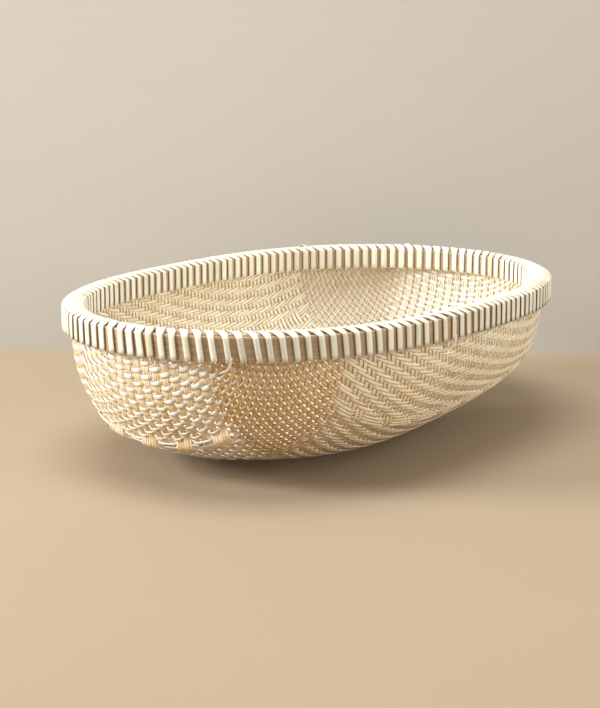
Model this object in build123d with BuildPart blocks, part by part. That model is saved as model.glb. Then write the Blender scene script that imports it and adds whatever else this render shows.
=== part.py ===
from build123d import *
import math
import os
from bisect import bisect_right
from itertools import accumulate

# Oval winnowing basket, millimetres: a plaited bowl whose edge is held between two
# hoops, with a cane core on top and a lashing wound round the whole rim.
# Origin: centre of the resting face on the underside. +X runs along the oval's long
# axis, +Z is up. An inset is a distance inwards from the outer hoop's outer face.

# ---- rim oval: radius = mean_radius * exp(oval * cos(2 * angle))
mean_radius = 202.1
oval = 0.2117          # half axes 249.8 and 163.5
rim_width = 14.5       # outer face of the outer hoop to inner face of the inner hoop
rim_mid = rim_width / 2
table_steps = 7200     # steps of the length table round the rim

# ---- hoops: each a strip bent once round, its tapered ends lapped
rim_top = 124.6        # top edge of both hoops
hoop_height = 18.0
hoop_bottom = rim_top - hoop_height
hoop_thick = 4.3
outer_lap_at = 0.22    # where each lap starts, as a part of the way round the rim
inner_lap_at = 0.71
scarf_len = 55.0       # length of each lap
scarf_tip = 1.2        # thickness left at the tip of each taper
scarf_gap = 1.5        # room past each tip
scarf_slack = 0.3      # space between the two tapers
hoop_steps = 60        # spline steps along a hoop's long faces
taper_steps = 8        # spline steps along a taper

# ---- plaited mat
mat_thick = 2.4
mat_inset = 6.0        # inset of the mat's outer face
mat_top = 120.7        # cut edge of the mat, under the core
mat_neck = 105.0       # the mat stands upright above this height
side_power = 2.908     # meridian exponents of the belly
depth_power = 2.2176
end_fullness = 0.0773  # makes the belly fuller at the ends of the long axis
base_cut = 0.985       # the belly is flat below this part of its depth
# hand-made lean of the belly: (waves per turn, cosine part, sine part)
lean_waves = [(4, 0.0138, -0.0144), (1, -0.0844, 0.0718)]
ring_count = 48        # points round each level of the belly
level_count = 12
meridian_steps = 240   # fine steps used to find the inner surface

# ---- cane core over the mat's cut edge
core_d = 5.6
core_z = 123.9
core_start = 0.45      # where its ends meet, as a part of the way round the rim
core_gap = 1.5         # between its butted ends
core_steps = 48

# ---- lashing strip
wraps = 138
joins = [6, 18, 46, 77, 99, 122]   # first wrap of each of the six lengths
# hand-wound drift of the wraps along the rim: (wrap, shift in pitches)
drift = [
    (0, 0.0), (58, 0.0), (64, 0.18), (68, 0.07), (72, -0.30), (76, -0.45),
    (79, -0.17), (84, -0.29), (90, -0.32), (94, -0.33), (97, 0.26), (100, 0.49),
    (104, 0.43), (107, 0.18), (110, 0.07), (112, -0.05), (118, 0.0), (wraps, 0.0),
]
strip_w = 5.0
strip_t = 0.8
clear = 0.15           # between the strip and what it wraps
crown_half = core_d * 0.42   # half width of the flat over the core


# ---- places on the rim
def rim_frame(angle):
    """Point of the rim oval, then its unit normal pointing inwards."""
    radius = mean_radius * math.exp(oval * math.cos(2 * angle))
    slope = -2 * oval * math.sin(2 * angle) * radius
    cos, sin = math.cos(angle), math.sin(angle)
    along_x = slope * cos - radius * sin
    along_y = slope * sin + radius * cos
    size = math.hypot(along_x, along_y)
    return radius * cos, radius * sin, -along_y / size, along_x / size


def rim_point(angle, inset):
    x, y, inward_x, inward_y = rim_frame(angle)
    return x + inward_x * inset, y + inward_y * inset


# cumulative length along the middle line of the rim
table_angles = [2 * math.pi * i / table_steps for i in range(table_steps + 1)]
table_points = [rim_point(angle, rim_mid) for angle in table_angles]
table_lengths = list(accumulate(
    (math.dist(p, q) for p, q in zip(table_points, table_points[1:])), initial=0.0))
mid_length = table_lengths[-1]


def angle_at(distance):
    """Angle at a distance along the middle line of the rim."""
    turns, rest = divmod(distance, mid_length)
    i = bisect_right(table_lengths, rest) - 1
    part = (rest - table_lengths[i]) / (table_lengths[i + 1] - table_lengths[i])
    step = table_angles[i + 1] - table_angles[i]
    return table_angles[i] + step * part + 2 * math.pi * turns


# ---- woven bowl
def belly(t, angle):
    """Outer surface of the mat: t = 0 at the neck, 1 at the flat base."""
    phase = t * math.asin(base_cut ** (depth_power / 2))
    power = side_power * (1 + end_fullness * math.cos(2 * angle))
    spread = math.cos(phase) ** (2 / power)
    depth = math.sin(phase) ** (2 / depth_power) / base_cut
    lean = sum(c * math.cos(n * angle) + s * math.sin(n * angle)
               for n, c, s in lean_waves)
    shape = 1 + lean * 2 * (1 - spread)
    x, y = rim_point(angle, mat_inset)
    return x * spread * shape, y * spread * shape, mat_neck * (1 - depth)


def inner_meridian(angle):
    """(radius, z) down one meridian, moved in by the mat's thickness."""
    points = [belly(i / meridian_steps, angle) for i in range(meridian_steps + 1)]
    outer = [(math.hypot(x, y), z) for x, y, z in points]
    moved = []
    for i, (radius, z) in enumerate(outer):
        r0, z0 = outer[max(i - 1, 0)]
        r1, z1 = outer[min(i + 1, meridian_steps)]
        size = math.hypot(r1 - r0, z1 - z0)
        moved.append((radius + (z1 - z0) / size * mat_thick,
                      z - (r1 - r0) / size * mat_thick))
    return moved


def radius_at(meridian, height):
    for (r0, z0), (r1, z1) in zip(meridian, meridian[1:]):
        if z0 >= height >= z1:
            return r0 + (r1 - r0) * (z0 - height) / max(z0 - z1, 1e-9)
    return meridian[-1][0]


def bowl_levels():
    """Outer and inner surfaces, each a list of (height, ring of points), neck first."""
    angles = [2 * math.pi * i / ring_count for i in range(ring_count)]
    meridians = [inner_meridian(angle) for angle in angles]
    outer, inner = [], []
    for level in range(level_count):
        t = level / (level_count - 1)
        ring = [belly(t, angle) for angle in angles]
        outer_z = ring[0][2]
        outer.append((outer_z, [(x, y) for x, y, _ in ring]))

        inner_z = mat_thick + outer_z * (mat_neck - mat_thick) / mat_neck
        inner_ring = []
        for angle, meridian in zip(angles, meridians):
            x, y = rim_point(angle, mat_inset)
            size = math.hypot(x, y)
            radius = size - mat_thick if level == 0 else radius_at(meridian, inner_z)
            inner_ring.append((x / size * radius, y / size * radius))
        inner.append((inner_z, inner_ring))
    return outer, inner


def ring_curve(ring):
    """Closed curve with the same spacing at every level, so that the loft stays light."""
    return Edge.make_spline([Vector(x, y, 0) for x, y in ring], periodic=True,
                            parameters=[i / ring_count for i in range(ring_count + 1)])


def make_bowl():
    """One closed shell with an open mouth and a flat base."""
    outer, inner = bowl_levels()
    # the cut runs 1 mm past the mat's top edge
    surfaces = [(outer, mat_top, Mode.ADD), (inner, mat_top + 1, Mode.SUBTRACT)]
    with BuildPart() as bowl:
        for levels, top, mode in surfaces:
            for z, ring in levels:
                with BuildSketch(Plane.XY.offset(z)):
                    with BuildLine():
                        add(ring_curve(ring))
                    make_face()
            loft(mode=mode)
            # upright band above the neck
            with BuildSketch(Plane.XY.offset(mat_neck)):
                with BuildLine():
                    add(ring_curve(levels[0][1]))
                make_face()
            extrude(amount=top - mat_neck, mode=mode)
    bowl.part.label = "woven_bowl"
    return bowl.part


# ---- hoops
def hoop_outline(outer, start):
    """Sides of a hoop's plan, each a list of points, from its outer face's inset."""
    inner = outer + hoop_thick
    far = start + mid_length
    far_root = far - scarf_gap
    far_tip = far + scarf_len
    near_root = start + scarf_len + scarf_gap
    # corners: (distance along the rim, inset, steps to the next corner)
    corners = [
        (start, outer, hoop_steps),
        (far_root, outer, 1),
        (far_root, outer + scarf_tip + scarf_slack, taper_steps),
        (far_tip, inner - scarf_tip, 1),
        (far_tip, inner, hoop_steps),
        (near_root, inner, 1),
        (near_root, inner - scarf_tip - scarf_slack, taper_steps),
        (start, outer + scarf_tip, 1),
    ]
    return [
        [rim_point(angle_at(s0 + (s1 - s0) * i / steps), d0 + (d1 - d0) * i / steps)
         for i in range(steps + 1)]
        for (s0, d0, steps), (s1, d1, _) in zip(corners, corners[1:] + corners[:1])
    ]


def make_hoop(label, outer, lap_at):
    with BuildPart() as hoop:
        with BuildSketch(Plane.XY.offset(hoop_bottom)):
            with BuildLine():
                for side in hoop_outline(outer, mid_length * lap_at):
                    if len(side) == 2:
                        Line(*side)
                    else:
                        Spline(*side)
            make_face()
        extrude(amount=hoop_height)
    hoop.part.label = label
    return hoop.part


# ---- rim core
def make_core():
    """Round cane bent once round, its ends butted with a small gap."""
    points = []
    for i in range(core_steps + 1):
        distance = mid_length * core_start + (mid_length - core_gap) * i / core_steps
        points.append((*rim_point(angle_at(distance), rim_mid), core_z))
    with BuildPart() as core:
        with BuildLine() as path:
            Spline(*points)
        with BuildSketch(Plane(origin=path.line @ 0, z_dir=path.line % 0)):
            Circle(core_d / 2)
        sweep()
    core.part.label = "rim_core"
    return core.part


# ---- lashing
def make_wrap():
    """One strip bent round the rim's section; +X points into the basket."""
    half = rim_mid + clear
    low = hoop_bottom - clear
    shoulder = rim_top + clear
    crown = core_z + core_d / 2 + clear
    section = [(-half, low), (-half, shoulder), (-crown_half, crown),
               (crown_half, crown), (half, shoulder), (half, low)]
    with BuildPart() as wrap:
        with BuildSketch(Plane.XZ):
            with BuildLine():
                Polyline(*section, close=True)
            make_face()
            offset(amount=strip_t, kind=Kind.ARC)
            with BuildLine():
                Polyline(*section, close=True)
            make_face(mode=Mode.SUBTRACT)
        extrude(amount=strip_w / 2, both=True)
        # the strip dives into the plaiting here, so it stops at the mat's two faces
        with BuildSketch(Plane.XZ):
            with Locations((mat_inset + mat_thick / 2 - rim_mid, low - strip_t / 2)):
                Rectangle(mat_thick + 2 * clear, strip_t + 1)
        extrude(amount=strip_w, both=True, mode=Mode.SUBTRACT)
    return wrap.part


def wrap_shift(wrap):
    """Drift of a wrap, in pitches."""
    for (k0, d0), (k1, d1) in zip(drift, drift[1:]):
        if k0 <= wrap <= k1:
            return d0 + (d1 - d0) * (wrap - k0) / (k1 - k0)


def wrap_location(index):
    """Where a wrap sits; indexes past the last wrap start again from the first."""
    i = index % wraps
    angle = angle_at(mid_length * (i + 0.5 + wrap_shift(i)) / wraps)
    _, _, inward_x, inward_y = rim_frame(angle)
    return Plane(origin=(*rim_point(angle, rim_mid), 0),
                 x_dir=(inward_x, inward_y, 0), z_dir=(0, 0, 1)).location


def make_lashing(label, wrap, first, end):
    """One length of strip: the wraps from first up to, but not including, end."""
    with BuildPart() as lashing:
        with Locations(*[wrap_location(i) for i in range(first, end)]):
            add(wrap)
    lashing.part.label = label
    return lashing.part


pieces = [
    make_bowl(),
    make_hoop("outer_hoop", 0.0, outer_lap_at),
    make_hoop("inner_hoop", rim_width - hoop_thick, inner_lap_at),
    make_core(),
]
single_wrap = make_wrap()
ends = joins[1:] + [wraps + joins[0]]
for number, (first, end) in enumerate(zip(joins, ends), start=1):
    pieces.append(make_lashing(f"lashing_{number}", single_wrap, first, end))

os.makedirs("parts", exist_ok=True)
for piece in pieces:
    export_step(piece, f"parts/{piece.label}.step")
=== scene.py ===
import bpy
import math
import numpy as np
from mathutils import Matrix, Vector


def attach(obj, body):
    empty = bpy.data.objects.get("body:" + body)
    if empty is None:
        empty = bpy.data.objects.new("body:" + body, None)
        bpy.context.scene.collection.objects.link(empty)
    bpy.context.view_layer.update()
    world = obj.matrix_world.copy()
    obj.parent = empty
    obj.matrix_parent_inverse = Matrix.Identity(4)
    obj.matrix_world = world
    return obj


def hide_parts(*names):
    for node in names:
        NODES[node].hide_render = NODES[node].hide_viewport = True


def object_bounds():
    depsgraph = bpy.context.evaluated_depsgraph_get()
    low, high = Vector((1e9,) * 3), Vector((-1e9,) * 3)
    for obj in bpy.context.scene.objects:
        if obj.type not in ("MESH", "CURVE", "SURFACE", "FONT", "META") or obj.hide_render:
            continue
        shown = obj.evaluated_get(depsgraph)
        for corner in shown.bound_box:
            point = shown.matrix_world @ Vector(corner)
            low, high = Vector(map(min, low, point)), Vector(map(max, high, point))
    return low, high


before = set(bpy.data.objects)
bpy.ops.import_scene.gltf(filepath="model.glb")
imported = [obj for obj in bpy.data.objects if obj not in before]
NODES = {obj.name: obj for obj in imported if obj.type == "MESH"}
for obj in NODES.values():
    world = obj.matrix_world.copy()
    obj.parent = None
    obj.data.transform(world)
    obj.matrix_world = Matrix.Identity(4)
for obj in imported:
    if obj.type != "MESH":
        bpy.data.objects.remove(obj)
box0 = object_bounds()

MM = 0.001

# ------------------------------------------------------------------ geometry
# the same driving numbers as the solids, in millimetres
mean_radius, oval = 202.1, 0.2117
rim_top, hoop_height, hoop_thick, rim_width = 124.6, 18.0, 4.3, 14.5
mat_inset, mat_neck, mat_top = 6.0, 105.0, 120.7
belly_p, belly_q, belly_p_2 = 2.908, 2.2176, 0.0773
b4c, b4s, b1c, b1s = 0.0138, -0.0144, -0.0844, 0.0718
base_cut = 0.985
MID = 1.15           # the weave's middle surface, in from the outer surface


def rim_pt(a, inset):
    r = mean_radius * np.exp(oval * np.cos(2 * a))
    dr = -2 * oval * np.sin(2 * a) * r
    tx = dr * np.cos(a) - r * np.sin(a)
    ty = dr * np.sin(a) + r * np.cos(a)
    s = np.hypot(tx, ty)
    tx, ty = tx / s, ty / s
    return r * np.cos(a) - ty * inset, r * np.sin(a) + tx * inset, tx, ty


class Surf:
    """The weave's middle surface over a plane q, where |q| is the distance
    along the meridian from the middle of the base."""

    def __init__(self, off=MID, na=720, sm=400.0):
        a = np.linspace(0, 2 * np.pi, na + 1)[:-1]
        end = math.asin(base_cut ** (belly_q / 2))
        t = np.linspace(0, 1, 400)[:, None]
        ph = t * end
        p = belly_p * (1 + belly_p_2 * np.cos(2 * a))[None]
        rho = np.cos(ph) ** (2 / p)
        depth = np.sin(ph) ** (2 / belly_q) / base_cut
        lean = b4c * np.cos(4 * a) + b4s * np.sin(4 * a) + b1c * np.cos(a) + b1s * np.sin(a)
        shape = 1 + lean[None] * 2 * (1 - rho)
        x, y, _, _ = rim_pt(a, mat_inset)
        rr, al = np.hypot(x, y), np.arctan2(y, x)
        r = rr[None] * rho * shape
        z = mat_neck * (1 - depth) * np.ones_like(r)
        ext = np.linspace(70.0, 0, 40)[:-1, None]
        r = np.concatenate([np.ones((39, 1)) * rr[None], r], 0)
        z = np.concatenate([mat_neck + ext * np.ones((1, na)), z], 0)
        base = np.linspace(1, 0, 60)[1:, None]
        r = np.concatenate([r, r[-1:] * base], 0)
        z = np.concatenate([z, np.zeros((59, na))], 0)
        dr, dz = np.gradient(r, axis=0), np.gradient(z, axis=0)
        s = np.hypot(dr, dz)
        nr, nz = dz / s, -dr / s
        for _ in range(3):
            nr[1:-1] = (nr[:-2] + 2 * nr[1:-1] + nr[2:]) / 4
            nz[1:-1] = (nz[:-2] + 2 * nz[1:-1] + nz[2:]) / 4
        r, z = (r + nr * off)[::-1], (z + nz * off)[::-1]
        r = r - r[0:1]
        arc = np.concatenate([np.zeros((1, na)), np.cumsum(np.hypot(np.diff(r, axis=0), np.diff(z, axis=0)), 0)], 0)
        self.ns = int(sm) + 1
        sg = np.arange(self.ns) * 1.0
        R, Z = np.empty((self.ns, na)), np.empty((self.ns, na))
        for k in range(na):
            R[:, k] = np.interp(sg, arc[:, k], r[:, k])
            Z[:, k] = np.interp(sg, arc[:, k], z[:, k])
            m = sg > arc[-1, k]
            Z[m, k] = z[-1, k] + (sg[m] - arc[-1, k])
        o = np.argsort(al)
        al, R, Z = al[o], R[:, o], Z[:, o]
        ag = np.linspace(-np.pi, np.pi, na + 1)[:-1]
        al3 = np.concatenate([al - 2 * np.pi, al, al + 2 * np.pi])
        R2 = np.stack([np.interp(ag, al3, np.tile(v, 3)) for v in R])
        Z2 = np.stack([np.interp(ag, al3, np.tile(v, 3)) for v in Z])
        self.R = np.concatenate([R2, R2[:, :1]], 1)
        self.Z = np.concatenate([Z2, Z2[:, :1]], 1)
        self.na, self.da = na, 2 * np.pi / na

    def pos(self, q):
        sv = np.hypot(q[..., 0], q[..., 1])
        a = np.arctan2(q[..., 1], q[..., 0])
        i = np.clip(sv, 0, self.ns - 1.001)
        i0 = i.astype(int)
        fi = i - i0
        j = ((a + np.pi) / self.da) % self.na
        j0 = np.minimum(j.astype(int), self.na - 1)
        fj = j - j0

        def b(T):
            return (T[i0, j0] * (1 - fi) + T[i0 + 1, j0] * fi) * (1 - fj) + (T[i0, j0 + 1] * (1 - fi) + T[i0 + 1, j0 + 1] * fi) * fj
        r, z = b(self.R), b(self.Z)
        return np.stack([r * np.cos(a), r * np.sin(a), z], -1)

    def jac(self, q, h=1.5):
        ex, ey = np.array([h, 0.0]), np.array([0.0, h])
        px = (self.pos(q + ex) - self.pos(q - ex)) / (2 * h)
        py = (self.pos(q + ey) - self.pos(q - ey)) / (2 * h)
        return px, py

    def normal(self, q):
        px, py = self.jac(q, 2.0)
        n = -np.cross(px, py)
        return n / np.maximum(np.linalg.norm(n, axis=-1, keepdims=True), 1e-9)


def march(S, h, nu, nv, su, sv):
    """One quarter of the draped mat: both strip families keep their length."""
    Q = np.full((nu + 1, nv + 1, 2), np.nan)
    Q[:, 0] = np.stack([su * h * np.arange(nu + 1), np.zeros(nu + 1)], -1)
    Q[0, :] = np.stack([np.zeros(nv + 1), sv * h * np.arange(nv + 1)], -1)
    for d in range(2, nu + nv + 1):
        i = np.arange(max(1, d - nv), min(nu, d - 1) + 1)
        j = d - i
        A, B, C = Q[i - 1, j], Q[i, j - 1], Q[i - 1, j - 1]
        ok = np.isfinite(A).all(-1) & np.isfinite(B).all(-1)
        i, j, A, B, C = i[ok], j[ok], A[ok], B[ok], C[ok]
        if len(i) == 0:
            continue
        q = A + B - C
        XA, XB = S.pos(A), S.pos(B)
        for _ in range(10):
            X = S.pos(q)
            px, py = S.jac(q, 0.7)
            fa = ((X - XA) ** 2).sum(-1) - h * h
            fb = ((X - XB) ** 2).sum(-1) - h * h
            a0, a1 = 2 * (px * (X - XA)).sum(-1), 2 * (py * (X - XA)).sum(-1)
            c0, c1 = 2 * (px * (X - XB)).sum(-1), 2 * (py * (X - XB)).sum(-1)
            det = a0 * c1 - a1 * c0
            det = np.where(np.abs(det) < 1e-3, np.sign(det + 1e-12) * 1e-3, det)
            dq = np.stack([-(c1 * fa - a1 * fb) / det, (c0 * fa - a0 * fb) / det], -1)
            L = np.linalg.norm(dq, axis=-1, keepdims=True)
            q = q + dq * np.minimum(1, h * 0.5 / np.maximum(L, 1e-9))
        X = S.pos(q)
        err = np.abs(np.linalg.norm(X - XA, axis=-1) - h) + np.abs(np.linalg.norm(X - XB, axis=-1) - h)
        bad = (err > 0.05) | (np.linalg.norm(X - S.pos(C), axis=-1) < 0.15 * h)
        q[bad] = np.nan
        Q[i, j] = q
    return Q


S = Surf()
H = 6.0
NU, NV = int(348 / H), int(282 / H)
GRID = np.full((2 * NU + 1, 2 * NV + 1, 2), np.nan)
for su in (1, -1):
    for sv in (1, -1):
        q = march(S, H, NU, NV, su, sv)
        GRID[np.ix_(NU + su * np.arange(NU + 1), NV + sv * np.arange(NV + 1))] = q
# beyond the last good point the net runs straight on
for axis in (0, 1):
    n = GRID.shape[axis]
    mid = n // 2
    for k in list(range(mid + 1, n)) + list(range(mid - 1, -1, -1)):
        st = 1 if k > mid else -1
        g = GRID if axis == 0 else GRID.transpose(1, 0, 2)
        m = ~np.isfinite(g[k, :, 0])
        if m.any():
            g[k][m] = 2 * g[k - st][m] - g[k - 2 * st][m]
GRID = np.nan_to_num(GRID, nan=400.0)


def cubic(f):
    return np.stack([-0.5 * f + f * f - 0.5 * f ** 3, 1 - 2.5 * f * f + 1.5 * f ** 3,
                     0.5 * f + 2 * f * f - 1.5 * f ** 3, -0.5 * f * f + 0.5 * f ** 3], 0)


def mat_q(u, v):
    """Mat coordinates (mm along each strip family) to the plane q."""
    i = np.clip(np.asarray(u) / H + NU, 1.0, 2 * NU - 1.001)
    j = np.clip(np.asarray(v) / H + NV, 1.0, 2 * NV - 1.001)
    i0, j0 = i.astype(int), j.astype(int)
    wi, wj = cubic(i - i0), cubic(j - j0)
    out = 0
    for a in range(4):
        for b in range(4):
            ia = np.clip(i0 + a - 1, 0, 2 * NU)
            jb = np.clip(j0 + b - 1, 0, 2 * NV)
            out = out + GRID[ia, jb] * (wi[a] * wj[b])[..., None]
    return out


# ------------------------------------------------------------------ the weave
PITCH_X, PITCH_Y = 2.72, 5.35     # narrow strips: rows of the long walls, rows of the ends
WIDE_V, WIDE_U = 66.8, 161.0      # wide strips lie within these, narrow ones beyond
BORD_V, BORD_U = 136.3, 205.8     # where the base turns up and the border band starts
BAND_V, BAND_U = 8.2, 16.2        # width of the border band, three rows on each side
WN_V, WN_U = 16, 34               # wide strips across the middle
EDGE_V, EDGE_U = 246.0, 330.0


def strip_set(limit, bord, belt, wide, edge, pitch, narrow):
    """Positions, half widths, kinds and weave indices of one strip family.
    kind 0 = wide, -1 / +1 = narrow on the low / high side. The strips of the
    border band share one index, so they go over and under together."""
    n = int((edge - limit) / pitch)
    side, c = [], 0
    for k in range(n):
        p = limit + pitch * (k + 0.5)
        if not (side and bord < p < bord + belt and bord < side[-1][0]):
            c += 1
        side.append((p, c))
    pos = [-p for p, _ in side[::-1]]
    idx = [-c for _, c in side[::-1]]
    half, kind = [narrow] * n, [-1] * n
    w = 2 * limit / wide
    for k in range(wide):
        pos.append(-limit + w * (k + 0.5))
        half.append(w * 0.43)
        kind.append(0)
        idx.append(k)
    for p, c in side:
        pos.append(p)
        half.append(narrow)
        kind.append(1)
        idx.append(wide + c - 1)
    return np.array(pos), np.array(half), np.array(kind), np.array(idx)


XP, XH, XK, XI = strip_set(WIDE_V, BORD_V, BAND_V, WN_V, EDGE_V, PITCH_X, 1.27)      # strips along X, at v
YP, YH, YK, YI = strip_set(WIDE_U, BORD_U, BAND_U, WN_U, EDGE_U, PITCH_Y, 1.82)      # strips along Y, at u


def over(i, j):
    """True where X strip i lies outside Y strip j. Vectorised over indices."""
    ki, kj, a, b = XK[i], YK[j], XI[i], YI[j]
    tw_minus = ((a - b) % 4) < 2
    tw_plus = ((a + b) % 4) < 2
    ci = (np.abs(XP[i]) - WIDE_V) // (2 * PITCH_X)
    cj = (np.abs(YP[j]) - WIDE_U) // PITCH_Y
    hop = ((ci + cj) % 2) < 1
    plain = np.where(band(YP[j], BORD_U) > 0, (a % 4) < 2, ((a + b) % 2) < 1)
    out = np.where(ki < 0, tw_minus, tw_plus)            # Y wide, X narrow
    edge_x = (band(XP[i], BORD_V) > 0) & (kj == 0)       # border band: three over, one under
    out = np.where(edge_x, np.where(ki < 0, (a - b) % 4, (a + b) % 4) < 3, out)
    out = np.where((ki == 0) & (kj != 0), plain, out)    # X wide, Y narrow: one over, one under
    out = np.where((ki == 0) & (kj == 0), tw_minus, out)
    out = np.where((ki != 0) & (kj != 0), hop, out)
    return out


def band(pos, bord):
    """1 inside the border band, 0 elsewhere."""
    d = np.abs(pos) - bord
    return ((d > 0) & (d < (BAND_V if bord == BORD_V else BAND_U))).astype(float)


def heights(i, j, own_x):
    """Signed offset (mm, + = outwards) of the chosen family's strip at a crossing."""
    o = np.where(over(i, j), 1.0, -1.0)
    ki, kj = XK[i] != 0, YK[j] != 0
    xn, yn = ki.astype(float), kj.astype(float)
    # a narrow strip bends round a stiff wide one
    end_wall, long_wall, corner = ~ki & kj, ki & ~kj, ki & kj
    ax = np.where(long_wall, np.where(o > 0, 0.74, 0.58), np.where(end_wall, 0.36, np.where(corner, 0.46, 0.42)))
    ay = np.where(long_wall, 0.46, np.where(end_wall, np.where(o < 0, 1.05, 0.48), np.where(corner, 0.52, 0.42)))
    bx = band(XP[i], BORD_V) * (~kj)
    by = band(YP[j], BORD_U) * (~ki)
    ax = np.where(bx > 0, 0.70, np.where(by > 0, np.where(o > 0, 1.6, 0.45), ax))
    ay = np.where(bx > 0, np.where(o < 0, 1.35, 0.45), np.where(by > 0, 0.70, ay))
    return o * ax if own_x else -o * ay


def smooth_profile(s, c, y, gap):
    """Height along a strip: y[k] near crossing k at c[k], eased in the gaps."""
    m = (c[1:] + c[:-1]) / 2
    k = np.searchsorted(m, s)
    out = y[k]
    for side in (0, 1):
        kk = np.clip(k - side, 0, len(m) - 1)
        g = gap[kk]
        t = (s - m[kk]) / g + 0.5
        t = np.clip(t, 0, 1)
        e = t * t * (3 - 2 * t)
        near = np.abs(s - m[kk]) < g / 2
        out = np.where(near, y[kk] + (y[kk + 1] - y[kk]) * e, out)
    return out


def section(half, thick, n=6):
    """Rounded flat section of one splint: (across, up) pairs."""
    h, t = half, thick / 2
    return np.array([(-h, 0.0), (-h * 0.62, t), (h * 0.62, t), (h, 0.0), (h * 0.62, -t), (-h * 0.62, -t)])


class Batch:
    """Collects ribbons and turns them into one mesh."""

    def __init__(self):
        self.v, self.f, self.uv, self.warm, self.dive, self.n = [], [], [], [], [], 0

    def ribbon(self, P, N, B, sec, sarr, rnd, caps=True, across_k=1.0, warm=None, dive=None):
        """P points, N outward, B across; sec: (m,2). All mm."""
        m = len(sec)
        k = len(P)
        V = P[:, None, :] + B[:, None, :] * sec[None, :, 0:1] + N[:, None, :] * sec[None, :, 1:2]
        base = self.n
        idx = base + np.arange(k * m).reshape(k, m)
        a, b = idx[:-1], idx[1:]
        quads = np.stack([a, np.roll(a, -1, 1), np.roll(b, -1, 1), b], -1).reshape(-1, 4)
        self.v.append(V.reshape(-1, 3))
        self.f.append(quads)
        across = np.tile(sec[:, 0] * across_k, (k, 1))
        along = np.repeat(sarr[:, None], m, 1)
        self.uv.append(np.stack([along, across, np.full_like(along, rnd)], -1).reshape(-1, 3))
        self.warm.append(np.repeat(np.zeros(k) if warm is None else warm, m))
        self.dive.append(np.repeat(np.zeros(k) if dive is None else dive, m))
        self.n += k * m
        if caps:
            self.caps = getattr(self, "caps_list", [])
            self.caps_list = self.caps
            self.caps_list.append((idx[0][::-1].tolist(), idx[-1].tolist()))

    def build(self, name, mat):
        me = bpy.data.meshes.new(name)
        V = np.concatenate(self.v).astype(np.float32) * MM
        F = np.concatenate(self.f).astype(np.int32)
        caps = [c for pair in getattr(self, "caps_list", []) for c in pair]
        loops = [F.reshape(-1)] + [np.array(c, np.int32) for c in caps]
        sizes = np.concatenate([np.full(len(F), 4), np.array([len(c) for c in caps], int)]).astype(np.int32)
        loops = np.concatenate(loops).astype(np.int32)
        me.vertices.add(len(V))
        me.vertices.foreach_set("co", V.ravel())
        me.loops.add(len(loops))
        me.loops.foreach_set("vertex_index", loops)
        me.polygons.add(len(sizes))
        starts = np.concatenate([[0], np.cumsum(sizes)[:-1]]).astype(np.int32)
        me.polygons.foreach_set("loop_start", starts)
        me.polygons.foreach_set("loop_total", sizes)
        me.update(calc_edges=True)
        me.polygons.foreach_set("use_smooth", np.ones(len(sizes), bool))
        at = me.attributes.new("strip", "FLOAT_VECTOR", "POINT")
        at.data.foreach_set("vector", np.concatenate(self.uv).astype(np.float32).ravel())
        at = me.attributes.new("warm", "FLOAT", "POINT")
        at.data.foreach_set("value", np.concatenate(self.warm).astype(np.float32))
        at = me.attributes.new("dive", "FLOAT", "POINT")
        at.data.foreach_set("value", np.concatenate(self.dive).astype(np.float32))
        me.validate()
        me.materials.append(mat)
        o = bpy.data.objects.new(name, me)
        bpy.context.scene.collection.objects.link(o)
        return o


# ------------------------------------------------------------------ materials
def new_mat(name):
    m = bpy.data.materials.new(name)
    m.use_nodes = True
    nt = m.node_tree
    nt.nodes.clear()
    out = nt.nodes.new("ShaderNodeOutputMaterial")
    bsdf = nt.nodes.new("ShaderNodeBsdfPrincipled")
    nt.links.new(bsdf.outputs[0], out.inputs[0])
    return m, nt, bsdf


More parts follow.
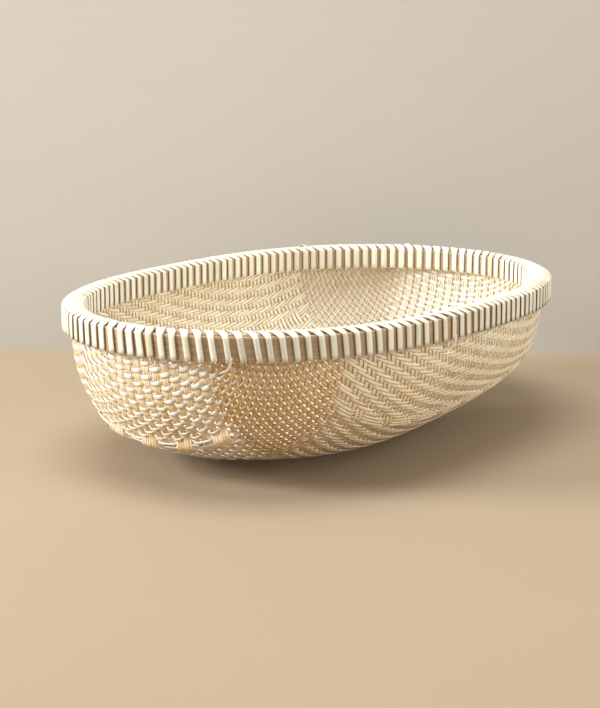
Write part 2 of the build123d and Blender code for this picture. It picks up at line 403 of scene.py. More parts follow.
class G:
    """Short helpers for node graphs."""

    def __init__(self, nt):
        self.nt = nt

    def node(self, kind, **kw):
        n = self.nt.nodes.new(kind)
        for k, v in kw.items():
            setattr(n, k, v)
        return n

    def link(self, a, b):
        self.nt.links.new(a, b)

    def put(self, sock, v):
        if isinstance(v, (int, float)):
            sock.default_value = v
        elif isinstance(v, tuple):
            sock.default_value = v
        else:
            self.link(v, sock)

    def math(self, op, a, b=0.0, c=None, clamp=False):
        n = self.node("ShaderNodeMath", operation=op, use_clamp=clamp)
        self.put(n.inputs[0], a)
        self.put(n.inputs[1], b)
        if c is not None:
            self.put(n.inputs[2], c)
        return n.outputs[0]

    def comb(self, x, y, z):
        n = self.node("ShaderNodeCombineXYZ")
        for s, v in zip(n.inputs, (x, y, z)):
            self.put(s, v)
        return n.outputs[0]

    def sep(self, v):
        n = self.node("ShaderNodeSeparateXYZ")
        self.link(v, n.inputs[0])
        return n.outputs

    def noise(self, vec, scale=1.0, detail=3.0, rough=0.5):
        n = self.node("ShaderNodeTexNoise")
        self.link(vec, n.inputs["Vector"])
        n.inputs["Scale"].default_value = scale
        n.inputs["Detail"].default_value = detail
        n.inputs["Roughness"].default_value = rough
        return n.outputs[0]

    def ramp(self, fac, stops, interp="LINEAR"):
        n = self.node("ShaderNodeValToRGB")
        n.color_ramp.interpolation = interp
        el = n.color_ramp.elements
        while len(el) < len(stops):
            el.new(0.5)
        for e, (p, c) in zip(el, stops):
            e.position = p
            e.color = (*c, 1.0)
        self.link(fac, n.inputs[0])
        return n.outputs[0]

    def mix(self, kind, fac, a, b):
        n = self.node("ShaderNodeMix", data_type="RGBA", blend_type=kind)
        self.put(n.inputs[0], fac)
        self.put(n.inputs[6], a if not isinstance(a, tuple) else (*a, 1.0))
        self.put(n.inputs[7], b if not isinstance(b, tuple) else (*b, 1.0))
        return n.outputs[2]

    def rng(self, v, a, b, c, d):
        n = self.node("ShaderNodeMapRange")
        self.put(n.inputs[0], v)
        for k, x in zip((1, 2, 3, 4), (a, b, c, d)):
            n.inputs[k].default_value = x
        return n.outputs[0]

    def bump(self, h, strength, dist):
        n = self.node("ShaderNodeBump")
        n.inputs["Strength"].default_value = strength
        n.inputs["Distance"].default_value = dist
        self.link(h, n.inputs["Height"])
        return n.outputs[0]


def strip_material(name, stops, fibre=0.16, stain=(0.42, 0.24, 0.10), stain_amt=0.5,
                   rough=(0.38, 0.62), bump=0.35, edge=None, sss=0.0, coat=0.0, up_light_down_shade=0.0,
                   warmth=(0.86, 0.59, 0.29)):
    """Split bamboo or cane: tone varies strip by strip, fibres run along it."""
    m, nt, b = new_mat(name)
    g = G(nt)
    at = g.node("ShaderNodeAttribute", attribute_name="strip")
    s, t, r = g.sep(at.outputs["Vector"])
    seed = g.math("MULTIPLY", r, 37.0)
    fib = g.noise(g.comb(g.math("MULTIPLY", s, 0.035), g.math("MULTIPLY", t, 2.6), seed), 1.0, 4.0, 0.6)
    fine = g.noise(g.comb(g.math("MULTIPLY", s, 0.12), g.math("MULTIPLY", t, 7.5), seed), 1.0, 2.0, 0.6)
    slow = g.noise(g.comb(g.math("MULTIPLY", s, 0.022), g.math("MULTIPLY", t, 0.15), seed), 1.0, 3.0, 0.6)
    tone = g.math("ADD", g.math("MULTIPLY", r, 0.72), g.math("MULTIPLY", slow, 0.34))
    base = g.ramp(tone, stops)
    lines = g.rng(fib, 0.30, 0.70, 1.0 - fibre, 1.0 + fibre * 0.55)
    finel = g.rng(fine, 0.3, 0.7, 1.0 - fibre * 0.5, 1.0 + fibre * 0.3)
    k = g.math("MULTIPLY", lines, finel)
    col = g.mix("MULTIPLY", 1.0, base, g.comb(k, k, k))
    # brown flecks and weathered patches
    geo = g.node("ShaderNodeNewGeometry")
    spots = g.noise(g.comb(g.math("MULTIPLY", s, 0.10), g.math("MULTIPLY", t, 0.8), g.math("ADD", seed, 11.0)), 1.0, 4.0, 0.7)
    sp = g.rng(spots, 0.60, 0.78, 0.0, stain_amt)
    col = g.mix("MIX", sp, col, stain)
    patch = g.noise(geo.outputs["Position"], 9.0, 2.0, 0.5)
    pk = g.rng(patch, 0.35, 0.7, 0.93, 1.05)
    col = g.mix("MULTIPLY", 1.0, col, g.comb(pk, g.math("MULTIPLY", pk, 0.995), g.math("MULTIPLY", pk, 0.985)))
    # painted shade: where both sets of strips are narrow, in the corners, the outer faces are tinted a deeper gold that
    # stands in for the shade and bounced light there
    wa = g.node("ShaderNodeAttribute", attribute_name="warm")
    nz = g.sep(geo.outputs["Normal"])[2]
    outer = g.rng(g.math("MULTIPLY", nz, -1.0), -0.30, 0.10, 0.30, 0.95)
    col = g.mix("MULTIPLY", g.math("MULTIPLY", wa.outputs["Fac"], outer), col, warmth)
    # painted shade: the colour is darkened where a strip dives under the next one
    da = g.node("ShaderNodeAttribute", attribute_name="dive")
    col = g.mix("MULTIPLY", g.math("MULTIPLY", da.outputs["Fac"], 0.85), col, (0.46, 0.30, 0.15))
    # painted light: faces that point up, mostly the inside, are mixed towards a pale cream; painted shade: faces that
    # point down, the underside, are darkened
    if up_light_down_shade:
        col = g.mix("MIX", g.rng(nz, -0.02, 0.40, 0.0, up_light_down_shade), col, (0.94, 0.89, 0.78))
        col = g.mix("MULTIPLY", g.rng(g.math("MULTIPLY", nz, -1.0), 0.40, 0.85, 0.0, 0.8), col, (0.82, 0.62, 0.42))
    if edge:
        # the split sides of a strip are darker than its face; this darkening is partly their own colour and partly
        # painted shade in the crevices between strips
        near, far, amt = edge
        edge_shade = g.rng(g.math("ABSOLUTE", t, 0.0), near, far, 0.0, amt)
        col = g.mix("MIX", edge_shade, col, (0.20, 0.115, 0.05))
    g.link(col, b.inputs["Base Color"])
    if coat:
        b.inputs["Coat Weight"].default_value = coat
        b.inputs["Coat Roughness"].default_value = 0.28
    rgh = g.rng(g.math("ADD", g.math("MULTIPLY", fib, 0.6), g.math("MULTIPLY", fine, 0.4)), 0.3, 0.7, rough[0], rough[1])
    g.link(rgh, b.inputs["Roughness"])
    b.inputs["Specular IOR Level"].default_value = 0.45
    if sss:
        b.inputs["Subsurface Weight"].default_value = sss
        b.inputs["Subsurface Radius"].default_value = (0.9, 0.6, 0.35)
        b.inputs["Subsurface Scale"].default_value = 0.0012
    h = g.math("ADD", g.math("MULTIPLY", fib, 0.7), g.math("MULTIPLY", fine, 0.3))
    g.link(g.bump(h, bump, 0.00025), b.inputs["Normal"])
    return m


def hoop_material(name, c0, c1, c2):
    """Bent culm bamboo: fibres run round the rim, with darker streaks."""
    m, nt, b = new_mat(name)
    g = G(nt)
    geo = g.node("ShaderNodeNewGeometry")
    x, y, z = g.sep(geo.outputs["Position"])
    fib = g.noise(g.comb(g.math("MULTIPLY", x, 7.0), g.math("MULTIPLY", y, 7.0), g.math("MULTIPLY", z, 900.0)), 1.0, 5.0, 0.65)
    fine = g.noise(g.comb(g.math("MULTIPLY", x, 60.0), g.math("MULTIPLY", y, 60.0), g.math("MULTIPLY", z, 2600.0)), 1.0, 3.0, 0.6)
    slow = g.noise(g.comb(g.math("MULTIPLY", x, 14.0), g.math("MULTIPLY", y, 14.0), g.math("MULTIPLY", z, 40.0)), 1.0, 3.0, 0.5)
    tone = g.math("ADD", g.math("MULTIPLY", fib, 0.62), g.math("MULTIPLY", slow, 0.42))
    base = g.ramp(tone, [(0.30, c0), (0.52, c1), (0.74, c2)])
    k = g.rng(fine, 0.3, 0.7, 0.86, 1.08)
    col = g.mix("MULTIPLY", 1.0, base, g.comb(k, k, k))
    # the worn top edge is paler
    edge = g.rng(z, 0.1228, 0.1246, 0.0, 0.55)
    col = g.mix("MIX", edge, col, (0.74, 0.60, 0.42))
    g.link(col, b.inputs["Base Color"])
    g.link(g.rng(fib, 0.3, 0.7, 0.34, 0.56), b.inputs["Roughness"])
    b.inputs["Specular IOR Level"].default_value = 0.5
    h = g.math("ADD", g.math("MULTIPLY", fib, 0.7), g.math("MULTIPLY", fine, 0.3))
    g.link(g.bump(h, 0.4, 0.0004), b.inputs["Normal"])
    return m


ROWS = [(0.08, (0.66, 0.54, 0.32)), (0.30, (0.76, 0.67, 0.46)), (0.55, (0.81, 0.74, 0.56)),
        (0.78, (0.85, 0.80, 0.65)), (0.97, (0.89, 0.86, 0.76))]
STAVES = [(0.08, (0.72, 0.59, 0.37)), (0.30, (0.81, 0.71, 0.50)), (0.55, (0.85, 0.78, 0.60)),
          (0.78, (0.88, 0.83, 0.68)), (0.97, (0.90, 0.87, 0.76))]
CREAM = [(0.10, (0.60, 0.55, 0.40)), (0.35, (0.72, 0.70, 0.56)), (0.60, (0.78, 0.77, 0.66)),
         (0.90, (0.85, 0.85, 0.77))]
# painted highlight: the end rows use a paler, more neutral copy of the row palette that stands in for the key light's
# sheen on the end walls
ENDS_SHEEN_C = [(0.08, (0.75, 0.68, 0.52)), (0.30, (0.84, 0.80, 0.70)), (0.55, (0.88, 0.86, 0.80)),
          (0.78, (0.91, 0.90, 0.86)), (0.97, (0.92, 0.92, 0.90))]
mat_end_rows_sheen = strip_material("split_bamboo_end_rows_painted_sheen", ENDS_SHEEN_C, fibre=0.11, stain_amt=0.25, rough=(0.26, 0.44), edge=(1.35, 1.9, 0.45), sss=0.10, coat=0.22, up_light_down_shade=0.30, warmth=(0.79, 0.54, 0.26))
mat_rows = strip_material("split_bamboo_rows", ROWS, fibre=0.13, stain_amt=0.30, rough=(0.30, 0.50), edge=(1.05, 1.45, 0.45), sss=0.10, coat=0.10, up_light_down_shade=0.38)
mat_staves = strip_material("split_bamboo_staves", STAVES, fibre=0.15, stain_amt=0.40, rough=(0.34, 0.56), edge=(1.1, 1.9, 0.22), sss=0.10, up_light_down_shade=0.38)
mat_lash = strip_material("cane_lashing", CREAM, fibre=0.10, stain=(0.55, 0.42, 0.24), stain_amt=0.35, rough=(0.30, 0.48), bump=0.3, edge=(1.95, 2.55, 0.88), sss=0.10, coat=0.12)
mat_hoop = hoop_material("bent_bamboo_hoop", (0.28, 0.18, 0.09), (0.42, 0.295, 0.175), (0.56, 0.42, 0.28))
mat_core = hoop_material("rim_core_cane", (0.34, 0.22, 0.11), (0.52, 0.37, 0.20), (0.66, 0.50, 0.30))


# ------------------------------------------------------------------ build the weave
def smoothstep(x):
    x = np.clip(x, 0, 1)
    return x * x * (3 - 2 * x)


def stations(cp, ck, ch, pitch, fine):
    """Sample positions along a strip from the crossing strips' positions."""
    out = []
    for k in range(len(cp)):
        if ck[k] == 0:
            w = ch[k] / 0.43
            out += [cp[k] - 0.37 * w, cp[k] - 0.18 * w] + ([cp[k]] if fine else []) + [cp[k] + 0.18 * w, cp[k] + 0.37 * w]
        elif pitch > 4:
            out += [cp[k] - 1.9, cp[k] - 0.7, cp[k] + 0.7, cp[k] + 1.9]
        else:
            out += [cp[k] - pitch * 0.26, cp[k] + pitch * 0.26]
    return np.array(out)


def wobble(s, amp, rng, lam=(38.0, 95.0)):
    out = np.zeros_like(s)
    for _ in range(3):
        w = 2 * np.pi / rng.uniform(*lam)
        out += np.sin(s * w + rng.uniform(0, 6.28)) * rng.uniform(0.4, 1.0)
    return out * amp / 1.6


LIMIT_Z = 119.4


def smooth_run(x):
    p = np.concatenate([x[:1], x, x[-1:]])
    return (p[:-2] + 2 * p[1:-1] + p[2:]) / 4


def build_strip(batch, fam, k):
    own_x = fam == "x"
    P_, H_, K_, = (XP, XH, XK) if own_x else (YP, YH, YK)
    cp, ch, ck = (YP, YH, YK) if own_x else (XP, XH, XK)
    wide_o = WIDE_U if own_x else WIDE_V
    n = len(cp)
    js = np.arange(n)
    ii = np.full(n, k)
    y = heights(ii, js, True) if own_x else heights(js, ii, False)
    pitch_o = PITCH_Y if own_x else PITCH_X
    gap = np.where((ck[1:] != 0) & (ck[:-1] != 0), min(pitch_o * 0.94, 4.2), 3.6)
    s = stations(cp, ck, ch, pitch_o, (not own_x) and K_[k] != 0)
    h = smooth_profile(s, cp, y, gap)
    # painted shade mask: where the strip's height changes steeply as it dives, the material darkens it
    dive_shade_mask = np.clip(np.abs(np.gradient(h, s)) / 0.42 - 0.15, 0, 1)
    pos0 = P_[k]
    kind = K_[k]
    if kind != 0:
        subs = [(0.0, 1.0)]
    elif own_x:
        subs = [(-0.66, 0.305), (0.0, 0.31), (0.66, 0.305)]
    else:
        subs = [(-0.575, 0.45), (0.575, 0.45)]
    for off, wid in subs:
        rng = np.random.default_rng(abs(hash((1 if own_x else 2, k, int(off * 10) + 9))) % (2 ** 31))
        rnd = rng.uniform(0, 1)
        half = H_[k] * wid * rng.uniform(0.93, 1.04)
        # splints draw together where they pass over, and spread where they dive
        draw = 1.0 - 0.16 * np.clip(h / 0.36, -1, 1) if (kind == 0 and own_x) else 1.0
        cor = smoothstep((np.abs(s) - wide_o + 2) / 16.0)
        pair = np.exp(-((np.abs(s) - BORD_U - 8.0) / 8.5) ** 2) if (kind == 0 and own_x) else 0.0 * s
        if kind == 0 and own_x:
            # slimmer up the end walls, spread into broad paddles over the border band
            draw = draw * (1 - 0.17 * cor) * (1 - pair) + 1.14 * pair
        across = pos0 + off * H_[k] * draw + wobble(s, 0.16 if kind == 0 else 0.13, rng)
        if kind == 0 and own_x:
            lap = 1 if XI[k] % 2 == 0 else -1
            across = across + lap * 0.62 * pair
        if kind != 0 and own_x:
            d = int((abs(pos0) - WIDE_V) // PITCH_X)
            toward = 1 if d % 2 == 0 else -1
            across = across + np.sign(pos0) * toward * 0.30 * cor
        hh = h + wobble(s, 0.05, rng, (9, 30))
        if kind == 0 and off != 0.0:
            hh = hh - 0.05
        u, v = (s, across) if own_x else (across, s)
        # painted shade: the corner nearest the viewer gets the full golden tint, the other corners half
        corner_shade_amt = cor * np.where((u < 0) & (v < 0), 1.0, 0.5)
        q = mat_q(u, v)
        X = S.pos(q)
        N = S.normal(q)
        # narrow strips close up in pairs inside the corners; the turn from the base into the walls stands out as a ridge
        ru = np.exp(-((np.abs(u) - BORD_U - 8.0) / 8.0) ** 2) * smoothstep((WIDE_V + 16 - np.abs(v)) / 22)
        rv = np.exp(-((np.abs(v) - BORD_V - 4.5) / 7.0) ** 2) * smoothstep((WIDE_U + 16 - np.abs(u)) / 22)
        out_u = np.where(hh > 1.2, 4.7, 3.0)
        X = X + N * (hh + smooth_run(out_u) * ru + 1.5 * rv)[:, None]
        ok = (X[:, 2] < LIMIT_Z) & np.isfinite(X).all(1)
        if not ok.any():
            continue
        # the run that holds the lowest point
        low = np.argmin(np.where(ok, X[:, 2], 1e9))
        a = low
        while a > 0 and ok[a - 1]:
            a -= 1
        b = low
        while b < len(ok) - 1 and ok[b + 1]:
            b += 1
        if b - a < 6:
            continue
        X, N, ss, cc = X[a:b + 1], N[a:b + 1], s[a:b + 1], cor[a:b + 1]
        T = np.gradient(X, axis=0)
        T /= np.linalg.norm(T, axis=1, keepdims=True)
        B = np.cross(N, T)
        B /= np.linalg.norm(B, axis=1, keepdims=True)
        N2 = np.cross(T, B)
        th = (0.50 if kind == 0 else 0.60 if own_x else 1.0) * rng.uniform(0.92, 1.1)
        sec = section(half, th)
        if kind != 0:
            Bs = B * (1 - (0.21 if own_x else 0.31) * cc)[:, None]
        elif own_x:
            pp = pair[a:b + 1]
            Bs = B * ((1 - 0.14 * cc) * (1 - pp) + 1.16 * pp)[:, None]
        else:
            Bs = B
        batch.ribbon(X, N2, Bs, sec, ss + rng.uniform(0, 500), rnd, warm=corner_shade_amt[a:b + 1] * (1.0 if kind != 0 else 0.5),
                     dive=dive_shade_mask[a:b + 1] * ((1 - 0.45 * cc) if kind != 0 else 0.12))


def make_piece(name, fam, ids, mat):
    b = Batch()
    for k in ids:
        build_strip(b, fam, k)
    o = b.build(name, mat)
    return o


pieces = []
xi = np.arange(len(XP))
yi = np.arange(len(YP))
xl, xw, xh = xi[XK < 0], xi[XK == 0], xi[XK > 0]
yl, yw, yh = yi[YK < 0], yi[YK == 0], yi[YK > 0]
plan = [("rows_front", "x", xl, mat_rows), ("rows_back", "x", xh, mat_rows)]
for n, part in enumerate(np.array_split(xw, 3)):
    plan.append((f"long_staves_{n + 1}", "x", part, mat_staves))
plan += [("rows_end_a", "y", yl, mat_end_rows_sheen), ("rows_end_b", "y", yh, mat_end_rows_sheen)]
for n, part in enumerate(np.array_split(yw, 3)):
    plan.append((f"cross_staves_{n + 1}", "y", part, mat_staves))
for name, fam, ids, mat in plan:
    o = make_piece(name, fam, ids, mat)
    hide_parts("woven_bowl")
    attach(o, "root")
    pieces.append(o)
    print("PIECE", name, "faces", len(o.data.polygons), "tris", sum(len(p.vertices) - 2 for p in o.data.polygons) if len(o.data.polygons) < 1000 else len(o.data.polygons) * 2)


# ------------------------------------------------------------------ the lashing
rim_mid = rim_width / 2
aa = np.linspace(0, 2 * np.pi, 14401)
mx, my, _, _ = rim_pt(aa, rim_mid)
ms = np.concatenate([[0], np.cumsum(np.hypot(np.diff(mx), np.diff(my)))])
RIM_L = ms[-1]
WRAPS = 138
JOINS = [6, 18, 46, 77, 99, 122]
DRIFT = [(0, 0.0), (58, 0.0), (64, 0.18), (68, 0.07), (72, -0.30), (76, -0.45), (79, -0.17), (84, -0.29),
         (90, -0.32), (94, -0.33), (97, 0.26), (100, 0.49), (104, 0.43), (107, 0.18), (110, 0.07), (112, -0.05),
         (118, 0.0), (138, 0.0)]
P_W = RIM_L / WRAPS


def wrap_s(k):
    t = k % WRAPS
    d = np.interp(t, [a for a, _ in DRIFT], [b for _, b in DRIFT])
    return P_W * (k + 0.5 + d)


def rim_frame(s):
    """Middle line point, outward unit and along unit of the rim at length s."""
    a = np.interp(np.mod(s, RIM_L), ms, aa)
    x, y, tx, ty = rim_pt(a, rim_mid)
    z = np.zeros_like(x)
    return np.stack([x, y, z], -1), np.stack([ty, -tx, z], -1), np.stack([tx, ty, z], -1)


# closed section path of one wrap: (outward, height), and how far the slant has gone
R_C = 1.5
OUT, LOW, TOPZ, CR = 7.95, 105.9, 125.1, 127.1


def wrap_path():
    pts = []

    def add(n, z, sl):
        pts.append((n, z, sl))
    for f in np.linspace(0, 1, 6):
        add(OUT + 0.12 * math.sin(math.pi * f), LOW + 0.9 + (TOPZ - 1.4 - LOW - 0.9) * f, 0.02 * f)
    for f in (0.3, 0.6, 0.85):
        a = f * math.pi / 2
        add(OUT - R_C * (1 - math.cos(a)), TOPZ - 1.4 + 1.5 * math.sin(a), 0.02 + 0.06 * f)
    for f in np.linspace(0, 1, 9):
        n = (OUT - R_C) * (1 - 2 * f) * 0.96
        z = TOPZ + 0.25 + (CR - TOPZ - 0.25) * math.sin(math.pi * f) ** 0.75
        add(n, z, 0.10 + 0.80 * f)
    for f in (0.15, 0.4, 0.7):
        a = f * math.pi / 2
        add(-(OUT - R_C) - R_C * math.sin(a), TOPZ + 0.1 - 1.5 * (1 - math.cos(a)), 0.92 + 0.06 * f)
    for f in np.linspace(0, 1, 6):
        add(-OUT - 0.12 * math.sin(math.pi * f), TOPZ - 1.4 - (TOPZ - 1.4 - LOW - 0.9) * f, 0.98 + 0.02 * f)
    for f in np.linspace(0, 1, 7)[1:-1]:
        add(-OUT + 2 * OUT * f, LOW + 0.35 - 0.5 * math.sin(math.pi * f) + 0.55 * abs(2 * f - 1) ** 3, 1.0)
    return np.array(pts)


WP = wrap_path()


def cane_section(w, t, groove):
    h = w / 2
    return np.array([(-h, -0.14 * t), (-h * 0.88, t * 0.22), (-h * 0.50, t * 0.50), (0.0, t * (0.60 - groove)),
                     (h * 0.50, t * 0.50), (h * 0.88, t * 0.22), (h, -0.14 * t), (h * 0.80, -t * 0.38), (-h * 0.80, -t * 0.38)])


WIDTHS = [(0, 1.16), (20, 1.20), (40, 1.20), (52, 1.30), (60, 1.38), (68, 1.26), (73, 1.04), (78, 0.94), (83, 0.98), (88, 1.10),
          (96, 1.20), (110, 1.30), (128, 1.28), (138, 1.16)]
LEANS = [(0, 0.8), (50, 0.8), (62, 1.6), (70, 1.9), (78, 2.6), (84, 2.0), (92, 0.9), (100, 0.4), (138, 0.8)]


def lashing_piece(name, first, last, seed):
    b = Batch()
    rng = np.random.default_rng(seed)
    # the strip is wound against the direction of the angle, so wraps run last to first
    ks = list(range(last - 1, first - 1, -1))
    allk = range(first - 2, last + 2)
    jit = {k: rng.normal(0, 0.28) for k in allk}
    lean = {k: np.interp(k % WRAPS, *zip(*LEANS)) + rng.normal(0, 0.35) for k in allk}
    wid = {k: np.interp(k % WRAPS, *zip(*WIDTHS)) * rng.uniform(0.93, 1.06) for k in allk}
    grv = {k: rng.choice([0.04, 0.10, 0.22, 0.34], p=[0.35, 0.3, 0.22, 0.13]) for k in allk}
    n, z, sl = WP[:, 0], WP[:, 1], WP[:, 2]
    up = np.clip((z - LOW) / (TOPZ - LOW), 0, 1)
    P, O = [], []
    for k in ks:
        s0, s1 = wrap_s(k) + jit[k], wrap_s(k - 1) + jit[k - 1]
        # low on the outer face a wrap sits further on than at the top
        s = s0 + (s1 - s0) * sl + lean[k] * (0.5 - up) * np.clip(1 - sl * 3, 0, 1)
        C, Ok, _ = rim_frame(s)
        p = C + Ok * n[:, None]
        p[:, 2] = z
        P.append(p)
        O.append(Ok)
    P, O = np.concatenate(P), np.concatenate(O)
    reps = len(ks)
    s_all = np.concatenate([[0], np.cumsum(np.linalg.norm(np.diff(P, axis=0), axis=1))])
    Tn = np.gradient(P, axis=0)
    Tn /= np.linalg.norm(Tn, axis=1, keepdims=True)
    pr, nx = np.roll(WP, 1, 0), np.roll(WP, -1, 0)
    dn, dz = nx[:, 0] - pr[:, 0], nx[:, 1] - pr[:, 1]
    L = np.hypot(dn, dz)
    on, oz = np.tile(dz / L, reps), np.tile(-dn / L, reps)
    N = O * on[:, None] + np.array([0, 0, 1.0]) * oz[:, None]
    B = np.cross(N, Tn)
    B /= np.linalg.norm(B, axis=1, keepdims=True)
    N2 = np.cross(Tn, B)
    m = len(WP)
    # the strip flattens and spreads where it lies over the crown
    crown = np.tile(1 + 0.34 * np.sin(np.clip((sl - 0.05) / 0.9, 0, 1) * math.pi) ** 0.6, reps)
    B = B * crown[:, None]
    for w in range(reps):
        a, e = w * m, min((w + 1) * m + 1, len(P))
        width = 5.15 * wid[ks[w]]
        sec = cane_section(width, 1.8, grv[ks[w]])
        b.ribbon(P[a:e], N2[a:e], B[a:e], sec, s_all[a:e], float(np.clip(rng.normal(0.60, 0.20), 0, 1)), across_k=5.2 / width)
    return b


def loose_end(b, k, pts, w0, w1, seed, tone=0.5):
    """A cut end of the strip: pts are (along, outward, height) from wrap k."""
    rng = np.random.default_rng(seed)
    pts = np.array(pts, float)
    t = np.linspace(0, len(pts) - 1, 14)
    i = np.clip(t.astype(int), 0, len(pts) - 2)
    f = t - i
    p0, p1, p2, p3 = pts[np.clip(i - 1, 0, None)], pts[i], pts[i + 1], pts[np.clip(i + 2, None, len(pts) - 1)]
    f = f[:, None]
    c = 0.5 * ((2 * p1) + (-p0 + p2) * f + (2 * p0 - 5 * p1 + 4 * p2 - p3) * f ** 2 + (-p0 + 3 * p1 - 3 * p2 + p3) * f ** 3)
    C, O, T = rim_frame(wrap_s(k) + c[:, 0])
    P = C + O * c[:, 1:2]
    P[:, 2] = c[:, 2]
    Tn = np.gradient(P, axis=0)
    Tn /= np.linalg.norm(Tn, axis=1, keepdims=True)
    N = O + np.array([0, 0, 0.15])
    N = N - Tn * (N * Tn).sum(1, keepdims=True)
    N /= np.linalg.norm(N, axis=1, keepdims=True)
    B = np.cross(N, Tn)
    ww = np.linspace(1, w1 / w0, len(P))
    b.ribbon(P, N, B * ww[:, None], cane_section(w0, 0.8, 0.1), np.linspace(0, 30, len(P)) + rng.uniform(0, 99), tone, across_k=5.2 / w0)


# loose ends: (lashing piece, wrap, path, start width, end width, tone)
ENDS = [
    (3, 77, [(2.6, 8.4, 110), (2.4, 8.2, 106.0), (1.4, 7.0, 102.6), (-0.8, 5.4, 100.0), (-3.6, 4.2, 98.2), (-6.0, 3.6, 97.4)], 2.7, 0.8, 0.62),
    (3, 77, [(1.6, 8.0, 106.0), (2.6, 6.8, 102.4), (3.2, 5.6, 99.4)], 2.0, 0.8, 0.45),
    (2, 71, [(-0.6, 7.6, 106.0), (-0.2, 6.6, 103.2), (1.6, 6.0, 101.2), (3.2, 6.2, 102.2), (3.0, 6.8, 104.2)], 2.0, 1.3, 0.10),
    (3, 97, [(2.0, 8.5, 110), (1.5, 8.4, 105.5), (0.5, 7.0, 101.5), (-3.0, 6.0, 98.6), (-6.5, 5.6, 98.0)], 3.4, 1.6, 0.65),
    (4, 99, [(0.0, 8.6, 109), (-1.0, 8.0, 104.5), (-3.5, 7.0, 101.2)], 3.2, 2.0, 0.40),
    (0, 17, [(0.0, 3.0, 127.0), (-0.8, 0.5, 128.3), (-3.2, -2.0, 128.6), (-6.0, -3.0, 127.4)], 4.2, 3.0, 0.35),
    (0, 17, [(-5.0, 3.6, 126.9), (-2.0, 2.8, 128.4), (1.5, 1.0, 128.7), (4.4, -1.4, 127.6)], 3.8, 2.6, 0.50),
    (1, 26, [(0.0, 2.0, 127.0), (-1.0, 1.0, 128.2), (-3.6, 0.4, 128.6)], 2.6, 1.4, 0.40),
    (5, 6, [(-3.0, 2.0, 127.0), (-3.6, 1.2, 128.3), (-6.4, 0.4, 128.5)], 2.8, 1.6, 0.45),
    (1, 45, [(0.0, 2.6, 127.0), (-1.2, 1.6, 128.4), (-4.0, 1.0, 128.8)], 3.0, 1.6, 0.60),
    (1, 42, [(0.0, 2.4, 127.0), (-0.8, 1.6, 128.0), (-3.0, 1.0, 128.3)], 2.4, 1.4, 0.35),
]
# a strip's start and finish are tucked under the wraps next to them
for n, first in enumerate(JOINS):
    last = JOINS[n + 1] if n + 1 < len(JOINS) else WRAPS + JOINS[0]
    b = lashing_piece(f"cane_lashing_{n + 1}", first, last, 100 + n)
    for m_, (pi, k, pts, w0, w1, tone) in enumerate(ENDS):
        if pi == n:
            loose_end(b, k, pts, w0, w1, 900 + m_, tone)
    o = b.build(f"cane_lashing_{n + 1}", mat_lash)
    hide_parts(f"lashing_{n + 1}")
    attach(o, "root")
    pieces.append(o)

# ------------------------------------------------------------------ carried-over nodes
for node, mat in (("outer_hoop", mat_hoop), ("inner_hoop", mat_hoop), ("rim_core", mat_core)):
    ob = NODES[node]
    ob.data.materials.clear()
    ob.data.materials.append(mat)
    if node != "rim_core":
        bv = ob.modifiers.new("soft_edges", "BEVEL")
        bv.width = 0.0006
        bv.segments = 2
        bv.limit_method = "ANGLE"
        bv.angle_limit = math.radians(50)

# ------------------------------------------------------------------ stage, light, camera
def plain(name, dark, light, rough=0.75):
    m, nt, b = new_mat(name)
    g = G(nt)
    geo = g.node("ShaderNodeNewGeometry")
    g.link(g.ramp(g.noise(geo.outputs["Position"], 2.2, 3.0, 0.5), [(0.3, dark), (0.7, light)]), b.inputs["Base Color"])
    b.inputs["Roughness"].default_value = rough
    b.inputs["Specular IOR Level"].default_value = 0.2
    return m, g, b, geo


def sheet(name, pts, mat):
    me = bpy.data.meshes.new(name)
    me.from_pydata(pts, [], [(0, 1, 2, 3)])
    me.materials.append(mat)
    ob = bpy.data.objects.new(name, me)
    bpy.context.scene.collection.objects.link(ob)
    return ob




def one_sided(m, g, b, geo):
    """Only the side that faces the object is solid."""
    tr = g.node("ShaderNodeBsdfTransparent")
    mx = g.node("ShaderNodeMixShader")
    g.link(geo.outputs["Backfacing"], mx.inputs[0])
    g.link(b.outputs[0], mx.inputs[1])
    g.link(tr.outputs[0], mx.inputs[2])
    for nd in m.node_tree.nodes:
        if nd.type == "OUTPUT_MATERIAL":
            g.link(mx.outputs[0], nd.inputs[0])
    return m


fm = one_sided(*plain("pale_floor", (0.318, 0.254, 0.178), (0.334, 0.267, 0.189)))
fs, fz = 8.0, box0[0][2] - 0.0002
floor = sheet("floor", [(-fs, -fs, fz), (fs, -fs, fz), (fs, fs, fz), (-fs, fs, fz)], fm)

# a plain wall behind, seen from its front only
wm = one_sided(*plain("pale_wall", (0.462, 0.440, 0.402), (0.482, 0.460, 0.422)))
wd = Vector((math.sin(math.radians(-54.9)), -math.cos(math.radians(-54.9)), 0))     # towards the viewer
wr = Vector((-wd.y, wd.x, 0))
wc = -wd * 0.315 + Vector((0, 0, fz))
wall = sheet("wall", [tuple(wc - wr * 4), tuple(wc + wr * 4), tuple(wc + wr * 4 + Vector((0, 0, 4))), tuple(wc - wr * 4 + Vector((0, 0, 4)))], wm)


def area(name, pos, aim, size, power, color):
    ld = bpy.data.lights.new(name, "AREA")
    ld.shape = "RECTANGLE"
    ld.size, ld.size_y = size
    ld.energy = power
    ld.color = color
    ob = bpy.data.objects.new(name, ld)
    bpy.context.scene.collection.objects.link(ob)
    ob.location = pos
    ob.rotation_euler = (Vector(aim) - Vector(pos)).to_track_quat("-Z", "Y").to_euler()
    return ob


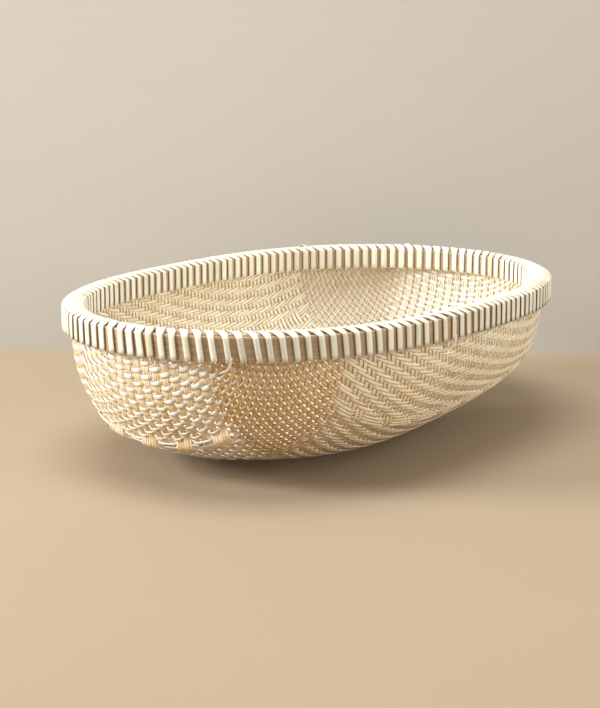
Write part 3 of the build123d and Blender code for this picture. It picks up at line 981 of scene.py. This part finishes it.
left_dir = Vector((-0.5768, 0.8168, 0.0))
away_dir = Vector((0.80, 0.563, 0.0)).normalized()
up_dir = Vector((0, 0, 1))
c0 = Vector((0, 0, 0.09))
area("key", c0 + left_dir * 2.7 - away_dir * 0.55 + up_dir * 1.10, c0, (1.0, 1.0), 128, (1.0, 0.985, 0.96))
area("top", c0 + left_dir * 0.25 + away_dir * 0.0 + up_dir * 1.9, c0, (1.2, 1.2), 42, (1.0, 0.985, 0.96))
area("fill", c0 - left_dir * 2.2 - away_dir * 0.9 + up_dir * 0.9, c0, (1.6, 1.6), 36, (1.0, 0.97, 0.93))

world = bpy.data.worlds.new("studio")
bpy.context.scene.world = world
world.use_nodes = True
bg = world.node_tree.nodes["Background"]
bg.inputs[0].default_value = (1.0, 0.905, 0.78, 1)
bg.inputs[1].default_value = 0.42
bpy.context.scene.view_settings.view_transform = "Standard"

# camera at the fitted place: position, yaw and pitch from the fit of the rim
e0, roll, f_px = 0.1671 + 0.0420057522, 0.00869388528, 1649.61676
az = math.radians(-55.56) + 0.011893768
bk = Vector((math.sin(az) * math.cos(e0), -math.cos(az) * math.cos(e0), math.sin(e0)))
r0 = Vector((math.cos(az), math.sin(az), 0))
u0 = bk.cross(r0)
rr = math.cos(roll) * r0 + math.sin(roll) * u0
uu = -math.sin(roll) * r0 + math.cos(roll) * u0
a0 = math.radians(-55.56)
b_fit = Vector((math.sin(a0) * math.cos(0.1671), -math.cos(a0) * math.cos(0.1671), math.sin(0.1671)))
pos = Vector((0, 0, 124.6)) + b_fit * (6.9309 * 202.1)
cd = bpy.data.cameras.new("camera")
cam = bpy.data.objects.new("camera", cd)
bpy.context.scene.collection.objects.link(cam)
M = Matrix(((rr.x, uu.x, bk.x, pos.x * MM), (rr.y, uu.y, bk.y, pos.y * MM), (rr.z, uu.z, bk.z, pos.z * MM), (0, 0, 0, 1)))
cam.matrix_world = M
cd.sensor_width = 36.0
cd.lens = f_px * 36.0 / 708.0
cd.clip_start = 0.05
bpy.context.scene.camera = cam
